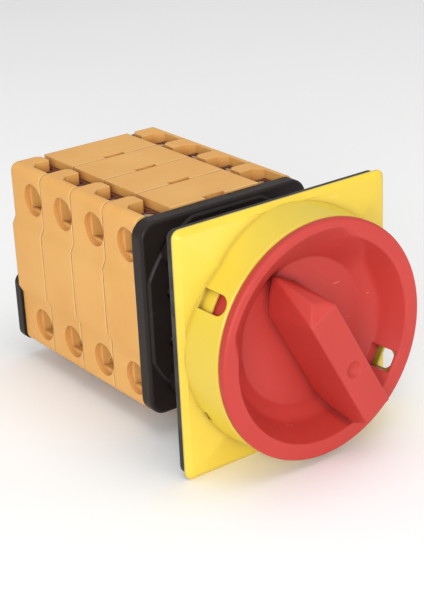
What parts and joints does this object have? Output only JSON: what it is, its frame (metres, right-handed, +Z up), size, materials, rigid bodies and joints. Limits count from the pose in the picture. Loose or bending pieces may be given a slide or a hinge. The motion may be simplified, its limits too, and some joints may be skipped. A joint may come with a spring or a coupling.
{
  "type": "rotary isolator switch",
  "caption": "Panel-mount rotary cam isolator: red grip handle on a yellow padlockable plate, shaft, latch and a stack of contact stages with side wire entries.",
  "frame": {"origin": "on the shaft axis in the plane where the seal meets the panel", "axes": "+Z up, the handle faces -Y, +X to the right seen from the handle"},
  "size_m": [0.088, 0.1547, 0.088],
  "materials": {
    "red_plastic": "satin moulded",
    "yellow_plastic": "satin moulded",
    "black_rubber": "matte",
    "black_plastic": "satin moulded",
    "tan_plastic": "matte moulded",
    "brown_insulator": "matte",
    "cam_plastic": "matte moulded",
    "latch_nylon": "matte moulded",
    "copper": "brushed",
    "zinc_steel": "zinc plated",
    "spring_steel": "drawn wire"
  },
  "bodies": {
    "body": {"escutcheon": "yellow_plastic", "seal_frame": "black_rubber", "mounting_screws": "zinc_steel", "mounting_plate": "black_plastic", "rear_plate": "black_plastic", "tie_bolts": "zinc_steel", "wire_clamps": "zinc_steel", "stage_housing_1": "tan_plastic", "terminal_covers_1": "brown_insulator", "fixed_contacts_1": "copper", "terminal_screws_1": "zinc_steel", "stage_housing_2": "tan_plastic", "terminal_covers_2": "brown_insulator", "fixed_contacts_2": "copper", "terminal_screws_2": "zinc_steel", "stage_housing_3": "tan_plastic", "terminal_covers_3": "brown_insulator", "fixed_contacts_3": "copper", "terminal_screws_3": "zinc_steel", "stage_housing_4": "tan_plastic", "terminal_covers_4": "brown_insulator", "fixed_contacts_4": "copper", "terminal_screws_4": "zinc_steel", "contact_spring_upper_1": "spring_steel", "contact_spring_lower_1": "spring_steel", "contact_spring_upper_2": "spring_steel", "contact_spring_lower_2": "spring_steel", "contact_spring_upper_3": "spring_steel", "contact_spring_lower_3": "spring_steel", "contact_spring_upper_4": "spring_steel", "contact_spring_lower_4": "spring_steel", "latch_spring_upper": "spring_steel", "latch_spring_lower": "spring_steel"},
    "handle": {"handle": "red_plastic", "hub_ring": "zinc_steel", "shaft": "zinc_steel", "latch_star": "latch_nylon", "cam_1": "cam_plastic", "cam_2": "cam_plastic", "cam_3": "cam_plastic", "cam_4": "cam_plastic"},
    "carrier_upper_1": {"carrier_upper_1": "cam_plastic", "bridge_upper_1": "copper"},
    "carrier_lower_1": {"carrier_lower_1": "cam_plastic", "bridge_lower_1": "copper"},
    "carrier_upper_2": {"carrier_upper_2": "cam_plastic", "bridge_upper_2": "copper"},
    "carrier_lower_2": {"carrier_lower_2": "cam_plastic", "bridge_lower_2": "copper"},
    "carrier_upper_3": {"carrier_upper_3": "cam_plastic", "bridge_upper_3": "copper"},
    "carrier_lower_3": {"carrier_lower_3": "cam_plastic", "bridge_lower_3": "copper"},
    "carrier_upper_4": {"carrier_upper_4": "cam_plastic", "bridge_upper_4": "copper"},
    "carrier_lower_4": {"carrier_lower_4": "cam_plastic", "bridge_lower_4": "copper"},
    "latch_slider_upper": {"latch_slider_upper": "latch_nylon"},
    "latch_slider_lower": {"latch_slider_lower": "latch_nylon"}
  },
  "joints": [
    {"name": "handle_turn", "type": "hinge", "parent": "body", "child": "handle", "pos_m": [0, 0, 0], "axis": [0, 1, 0], "range_deg": [0, 90]},
    {"name": "contact_upper_1", "type": "slide", "parent": "body", "child": "carrier_upper_1", "axis": [0, 0, 1], "range_m": [-0.0035, 0], "deforming": ["contact_spring_upper_1"]},
    {"name": "contact_lower_1", "type": "slide", "parent": "body", "child": "carrier_lower_1", "axis": [0, 0, -1], "range_m": [-0.0035, 0], "deforming": ["contact_spring_lower_1"]},
    {"name": "contact_upper_2", "type": "slide", "parent": "body", "child": "carrier_upper_2", "axis": [0, 0, 1], "range_m": [-0.0035, 0], "deforming": ["contact_spring_upper_2"]},
    {"name": "contact_lower_2", "type": "slide", "parent": "body", "child": "carrier_lower_2", "axis": [0, 0, -1], "range_m": [-0.0035, 0], "deforming": ["contact_spring_lower_2"]},
    {"name": "contact_upper_3", "type": "slide", "parent": "body", "child": "carrier_upper_3", "axis": [0, 0, 1], "range_m": [-0.0035, 0], "deforming": ["contact_spring_upper_3"]},
    {"name": "contact_lower_3", "type": "slide", "parent": "body", "child": "carrier_lower_3", "axis": [0, 0, -1], "range_m": [-0.0035, 0], "deforming": ["contact_spring_lower_3"]},
    {"name": "contact_upper_4", "type": "slide", "parent": "body", "child": "carrier_upper_4", "axis": [0, 0, 1], "range_m": [-0.0035, 0], "deforming": ["contact_spring_upper_4"]},
    {"name": "contact_lower_4", "type": "slide", "parent": "body", "child": "carrier_lower_4", "axis": [0, 0, -1], "range_m": [-0.0035, 0], "deforming": ["contact_spring_lower_4"]},
    {"name": "latch_upper", "type": "slide", "parent": "body", "child": "latch_slider_upper", "axis": [0, 0, 1], "range_m": [-0.0012, 0], "stiffness_N_per_m": 400, "deforming": ["latch_spring_upper"]},
    {"name": "latch_lower", "type": "slide", "parent": "body", "child": "latch_slider_lower", "axis": [0, 0, -1], "range_m": [-0.0012, 0], "stiffness_N_per_m": 400, "deforming": ["latch_spring_lower"]}
  ],
  "couplings": [
    {"joint": "contact_upper_1", "follows": "handle_turn", "m_per_rad": -0.0022282},
    {"joint": "contact_lower_1", "follows": "handle_turn", "m_per_rad": -0.0022282},
    {"joint": "contact_upper_2", "follows": "handle_turn", "m_per_rad": -0.0022282},
    {"joint": "contact_lower_2", "follows": "handle_turn", "m_per_rad": -0.0022282},
    {"joint": "contact_upper_3", "follows": "handle_turn", "m_per_rad": -0.0022282},
    {"joint": "contact_lower_3", "follows": "handle_turn", "m_per_rad": -0.0022282},
    {"joint": "contact_upper_4", "follows": "handle_turn", "m_per_rad": -0.0022282},
    {"joint": "contact_lower_4", "follows": "handle_turn", "m_per_rad": -0.0022282}
  ]
}
